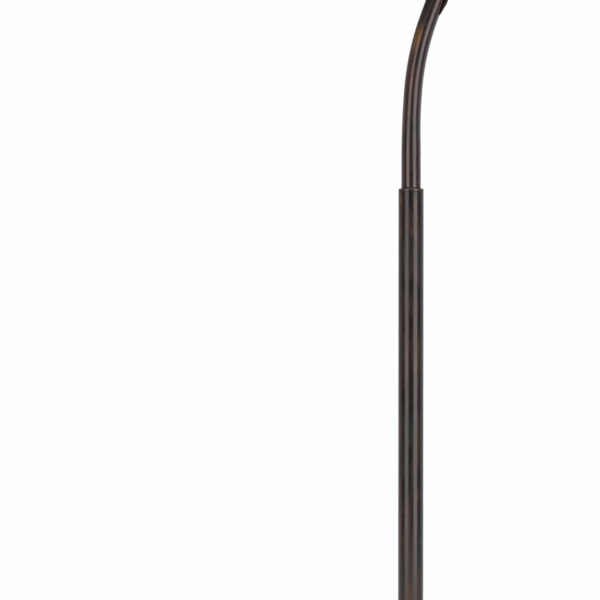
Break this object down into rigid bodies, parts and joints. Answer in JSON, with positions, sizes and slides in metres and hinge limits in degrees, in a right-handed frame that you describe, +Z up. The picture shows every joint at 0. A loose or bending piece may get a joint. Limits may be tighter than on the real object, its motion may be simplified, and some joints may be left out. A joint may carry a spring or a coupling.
{
  "type": "bridge floor lamp",
  "caption": "Floor lamp with a weighted round base, a straight pole and a swivelling curved arm that hangs a tilting conical shade, in dark rust-bronze metal.",
  "frame": {"origin": "on the floor, on the axis of the pole, at the centre of the base's underside", "axes": "+Z up along the pole, -X towards the shade, -Y towards the viewer"},
  "size_m": [0.5247, 0.332, 1.5244],
  "materials": {
    "felt": "black felt",
    "rust_bronze": "dark rust bronze, rubbed, semi-gloss",
    "cast_iron": "as cast",
    "plated_steel": "zinc plated",
    "brass": "satin",
    "black_plastic": "moulded",
    "fibre": "vulcanised fibre",
    "phenolic": "moulded",
    "shade_wire": "painted wire",
    "linen": "woven linen",
    "liner": "white styrene",
    "trim_tape": "bias tape",
    "bulb_base": "bare",
    "bulb_glass": "frosted"
  },
  "bodies": {
    "stand": {"base_pad": "felt", "base_cover": "rust_bronze", "base_weight": "cast_iron", "base_stud": "plated_steel", "base_washer": "plated_steel", "base_nut": "plated_steel", "flex_inlet_bush": "black_plastic", "neck_collar": "rust_bronze", "pole_foot_plug": "plated_steel", "pole_lower": "rust_bronze", "pole_coupler": "plated_steel", "pole_upper": "rust_bronze", "pole_end_ring": "rust_bronze", "swivel_bush_upper": "black_plastic", "swivel_bush_lower": "black_plastic", "swivel_seat_ring": "plated_steel", "swivel_thrust_washer": "black_plastic", "swivel_stop_rivet": "rust_bronze"},
    "arm": {"arm_tube": "rust_bronze", "arm_foot_plug": "plated_steel", "arm_stop_screw": "rust_bronze", "arm_tip_plug": "plated_steel", "arm_scroll": "rust_bronze", "arm_scroll_band": "rust_bronze", "arm_ferrule": "rust_bronze", "knuckle_yoke": "rust_bronze", "knuckle_bolt": "rust_bronze", "knuckle_knob_washer": "rust_bronze", "knuckle_friction_washers": "fibre"},
    "tilt_knob": {"tilt_knob": "rust_bronze"},
    "head": {"knuckle_tang": "rust_bronze", "socket_cup": "rust_bronze", "socket_nipple": "plated_steel", "socket_locknut": "plated_steel", "socket_cap": "brass", "socket_shell": "brass", "socket_insulator": "fibre", "socket_body": "phenolic", "socket_screw_shell": "brass", "socket_centre_contact": "brass", "shade_frame": "shade_wire", "shade_ring_nut": "brass", "shade_upper_hoop": "shade_wire", "shade_lower_hoop": "shade_wire", "shade_cover": "linen", "shade_liner": "liner", "shade_trim_top": "trim_tape", "shade_trim_bottom": "trim_tape"},
    "switch": {"switch_knob": "rust_bronze", "switch_shaft": "brass"},
    "bulb": {"bulb_cap": "bulb_base", "bulb_tip_contact": "brass", "bulb_glass": "bulb_glass"}
  },
  "joints": [
    {"name": "arm_swivel", "type": "hinge", "parent": "stand", "child": "arm", "pos_m": [0, 0, 0.88], "axis": [0, 0, 1], "range_deg": [-150, 150]},
    {"name": "head_tilt", "type": "hinge", "parent": "arm", "child": "head", "pos_m": [-0.21299, 0, 1.32357], "axis": [0, 1, 0], "range_deg": [-26, 40]},
    {"name": "tilt_knob_turn", "type": "hinge", "parent": "arm", "child": "tilt_knob", "pos_m": [-0.21299, -0.015, 1.32357], "axis": [0, 1, 0], "range_deg": [0, 270]},
    {"name": "switch_turn", "type": "hinge", "parent": "head", "child": "switch", "pos_m": [-0.21299, -0.03, 1.25327], "axis": [0, 1, 0], "continuous": true},
    {"name": "bulb_unscrew", "type": "hinge", "parent": "head", "child": "bulb", "pos_m": [-0.21299, 0, 1.22], "axis": [0, 0, -1], "range_deg": [0, 1080]}
  ]
}
